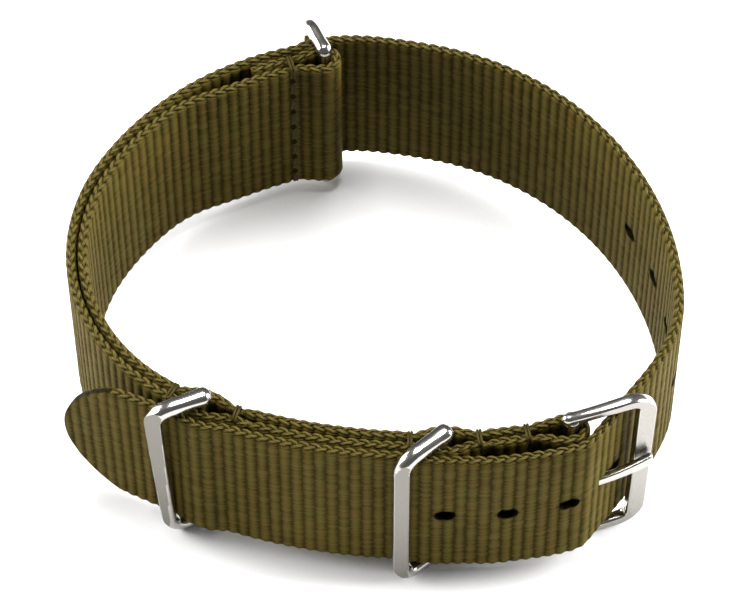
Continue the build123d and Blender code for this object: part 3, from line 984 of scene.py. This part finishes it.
def hoop(
    origin, direction, start, inner, outer, half_width, squareness, swell,
    cut_normal, cut_at, slant, rise,
):
    """A steel hoop between an inner and an outer outline, each given by its reach, half height and
    corner radius. Its section is a superellipse of power n, which goes from 2.2 at the arms' ends
    to the squareness at the front bar, and closes at the ends as a quarter circle. A bell curve
    adds a knob at each end. Towards the ends the width grows by the swell, and a swell below 0 also
    thins the arms as the sine of the way. What stands out past a plane is ground away to it.
    Gives points, faces and the mask of ground points."""
    inside, outside = outline(start, *inner), outline(start, *outer)
    centre, across = (inside + outside) / 2, (outside - inside) / 2
    from_end = (centre.real - start).clip(0)
    near_end = 1 - from_end / from_end.max()
    size = np.sqrt(1 - (1 - (from_end / arm_height * 2).clip(0, 1)) ** 2)
    size = size * (1 + knob_share * np.exp(-(((from_end - knob_at) / knob_reach) ** 2)))
    wider = size * (1 + swell * near_end**swell_power)
    thinner = size * (1 + min(swell, 0) * np.sin(np.pi * near_end))
    squarer = (squareness - end_squareness) * (1 - near_end) ** squaring_power
    power = 2 / (end_squareness + squarer)
    wave_x, wave_y = superellipse(hoop_sides, power[:, None])
    in_plane = centre[:, None] + across[:, None] * wave_x * thinner[:, None]
    in_plane = slanted(in_plane, outer[0], slant, rise)
    plan = origin + direction * in_plane.real - direction * 1j * half_width * wave_y * wider[:, None]
    over = dot(cut_normal, plan - origin) - cut_at
    plan = plan - cut_normal * over.clip(0)
    points = np.stack([plan.real, plan.imag, middle_height + in_plane.imag], -1).reshape(-1, 3)
    return points, tube_faces(len(centre), hoop_sides), (over > -ground_margin).astype(float).ravel()


def round_bar(middle, radius, half, rise):
    """A round bar between the arms, a stack of circles, with rounded ends."""
    up = np.concatenate([[-half, -half], np.linspace(-half, half, rod_rings), [half, half]])
    shrink = np.concatenate([[0, rod_end_share], np.ones(rod_rings), [rod_end_share, 0]])
    angle = np.linspace(0, 2 * np.pi, rod_sides, endpoint=False)
    plan = middle + radius * shrink[:, None] * np.exp(1j * angle)
    upright = np.broadcast_to(middle_height + rise + up[:, None], plan.shape)
    points = np.stack([plan.real, plan.imag, upright], -1).reshape(-1, 3)
    return points, tube_faces(len(up), rod_sides), np.zeros(plan.size)


def steel_piece(name, node, body, parts, brushing=1.0):
    """One steel object of several closed forms, each given as points, faces and ground mask. Brushing
    is how dull the ground side is."""
    points, faces, ground = [], [], []
    for form_points, form_faces, form_ground in parts:
        faces.append(form_faces + sum(len(earlier) for earlier in points))
        points.append(form_points)
        ground.append(form_ground)
    made = mesh_object(name, np.concatenate(points), faces, ground=np.concatenate(ground) * brushing)
    weld(made)
    made.data.materials.append(steel)
    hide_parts(node)
    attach(made, body)


def steel_loop(node, at, bar, width, depth, lean, slant, corners, flat_share):
    """A keeper or ring about its bar, leaning by an angle from the outward direction. The flat on
    its front bar is a share of its width wide."""
    direction = outward(at) * toward(lean)
    flat_at = dot(direction, outward(at)) * depth + width / 2 * math.sqrt(1 - flat_share**2)
    inner = (depth - arm_height / 2, window_height / 2, corners[0])
    outer = (depth + arm_height / 2, window_height / 2 + arm_height, corners[1])
    shape = hoop(
        bar, direction, -bar_radius - arm_overlap, inner, outer, width / 2,
        loop_squareness, arm_swell, outward(at), flat_at, slant, 0,
    )
    rod = round_bar(bar, bar_radius, window_height / 2 + arm_height / 2, 0)
    steel_piece(node + "_steel", node, node, [shape, rod])


steel_loop(
    "near_keeper", near_keeper_at, place(near_keeper_at, seam_rise), keeper_width,
    near_keeper_depth, -near_keeper_lean, 0, keeper_corners, keeper_flat_share,
)
steel_loop(
    "far_keeper", far_keeper_at, place(far_keeper_at, seam_rise), keeper_width,
    far_keeper_depth, -far_keeper_lean, far_keeper_slant, keeper_corners, keeper_flat_share,
)
steel_loop(
    "end_ring", ring_at, ring_bar, ring_width,
    ring_depth, ring_lean, 0, ring_corners, ring_flat_share,
)

# Buckle
# A tang buckle: a forged frame, open towards the web, whose arms end in knobs with sockets for a
# round bar. Its outer face is ground flat and polished.
buckle_thickness = 1.4
buckle_fullness = 0.12
buckle_grinding = 0.1
buckle_length = 9.2
crossbar_width = 2.1
arm_overhang = 1.2
buckle_corner_radius = 3.4
window_corner_radius = 0.5
buckle_squareness = 3.0
buckle_taper = -0.26
buckle_slant = -0.8
buckle_rise = 0.15
buckle_brushing = 0.4
buckle_direction = bar_outward * 1j
buckle_frame = hoop(
    buckle_bar, buckle_direction, -arm_overhang,
    (buckle_length - crossbar_width, window_height / 2, window_corner_radius),
    (buckle_length, window_height / 2 + arm_height, buckle_corner_radius),
    buckle_thickness / 2 + buckle_fullness, buckle_squareness, buckle_taper,
    bar_outward, buckle_thickness / 2 - buckle_grinding, buckle_slant, buckle_rise,
)
steel_piece("buckle_frame_steel", "buckle_frame", "buckle", [buckle_frame], buckle_brushing)
buckle_rod = round_bar(buckle_bar, buckle_bar_radius, window_height / 2 + arm_height / 2, buckle_rise)
steel_piece("buckle_bar_steel", "buckle_bar", "buckle", [buckle_rod])

# Tongue
# A flat polished pin, bent round the bar at one end. It goes through a hole of the tail and rests
# on the crossbar, where it is a little wider.
tongue_thickness = 0.85
tongue_offset = 1.2
tongue_reach = 9.0
tongue_arch = 0.3
tongue_narrow = 1.15
tongue_wide = 1.75
tongue_lift = 0.13
tongue_squareness = 4
tongue_tip = 0.35
tongue_tip_rings = 8
tongue_rings = 50
tongue_sides = 32
eye_ends_at = 385.0
eye_closing = (0.95, 0.8, 0.5, 0)


def tongue_pin():
    """A bar of rounded rectangular section carried along a slightly arched run and then round the
    bar on an arc. The section is a superellipse of power 4. It closes at the tip as a quarter
    circle, and at the end of the eye in four steps."""
    tip_turn = np.linspace(0, np.pi / 2, tongue_tip_rings)
    to_bar = np.linspace(tongue_tip, tongue_reach, tongue_rings)[1:]
    from_tip = np.concatenate([tongue_tip * (1 - np.cos(tip_turn)), to_bar])
    run = tongue_reach - from_tip
    eye = toward(np.linspace(90, eye_ends_at, tongue_rings)[1:])
    arch = tongue_arch * np.sin(np.pi * run / tongue_reach)
    line = np.concatenate([run + 1j * (tongue_offset + arch), tongue_offset * eye])
    normal = np.concatenate([np.full(len(run), 1j), eye])
    closing = np.sqrt(1 - (1 - (from_tip / tongue_tip).clip(0, 1)) ** 2)
    closing = np.concatenate([closing, np.ones(len(eye) - len(eye_closing)), eye_closing])
    share = (line.real / tongue_reach).clip(0, 1)
    half_wide = (tongue_narrow + (tongue_wide - tongue_narrow) * share**2) / 2 * np.sqrt(closing)
    wave_x, wave_y = superellipse(tongue_sides, 2 / tongue_squareness)
    spot = line[:, None] + (normal * tongue_thickness / 2 * closing)[:, None] * wave_x
    plan = buckle_bar + buckle_direction * spot.real + bar_outward * spot.imag
    upright = middle_height + (tongue_lift * line.real.clip(0))[:, None] + half_wide[:, None] * wave_y
    points = np.stack([plan.real, plan.imag, upright], -1).reshape(-1, 3)
    return points, tube_faces(len(line), tongue_sides), np.zeros(len(points))


steel_piece("buckle_tongue_steel", "buckle_tongue", "tongue", [tongue_pin()])

# Floor, light and camera
# A white sweep under the strap, wide lights at both sides and one above, and the camera of a
# product shot: a long lens, looking down at the buckle's side. Lamps and camera are in metres.
floor_half = 1500.0
world_strength = 0.16
camera_tilt = math.radians(57.0)
camera_distance = 0.424
camera_aim = np.array([0.00092, 0.00612, 0.0123])
sensor_width = 36
focal_pixels = 3911
picture_pixels = 750

floor_corners = np.array([[-1, -1, 0], [1, -1, 0], [1, 1, 0], [-1, 1, 0]]) * floor_half
floor = mesh_object("floor", floor_corners, [np.array([[0, 1, 2, 3]])], False)
floor_paint, tree, shader = new_material("floor_paint", Base_Color=(0.94, 0.94, 0.94, 1), Roughness=0.9)
floor.data.materials.append(floor_paint)

world = bpy.data.worlds.new("studio")
world.use_nodes = True
bpy.context.scene.world = world
world.node_tree.nodes["Background"].inputs["Color"].default_value = (1, 1, 1, 1)
world.node_tree.nodes["Background"].inputs["Strength"].default_value = world_strength


def softbox(name, place_at, size, power):
    """A square lamp that faces the middle of the strap."""
    lamp = bpy.data.lights.new(name, "AREA")
    lamp.energy, lamp.size = power, size
    made = bpy.data.objects.new(name, lamp)
    bpy.context.scene.collection.objects.link(made)
    made.location = place_at
    made.rotation_euler = made.location.to_track_quat("Z", "Y").to_euler()


softbox("left_softbox", (-0.78, 0.18, 0.30), 0.5, 15)
softbox("right_softbox", (0.78, 0.16, 0.30), 0.5, 19)
softbox("top_softbox", (0.0, 0.20, 1.0), 0.45, 14)

lens = bpy.data.cameras.new("camera")
lens.sensor_width = sensor_width
lens.lens = sensor_width * focal_pixels / picture_pixels
lens.clip_start, lens.clip_end = 0.01, 10
camera = bpy.data.objects.new("camera", lens)
bpy.context.scene.collection.objects.link(camera)
camera_way = np.array([0, -math.cos(camera_tilt), math.sin(camera_tilt)])
camera.location = camera_aim + camera_distance * camera_way
camera.rotation_euler = (math.pi / 2 - camera_tilt, 0, 0)
bpy.context.scene.camera = camera
bpy.context.scene.view_settings.view_transform = "Standard"
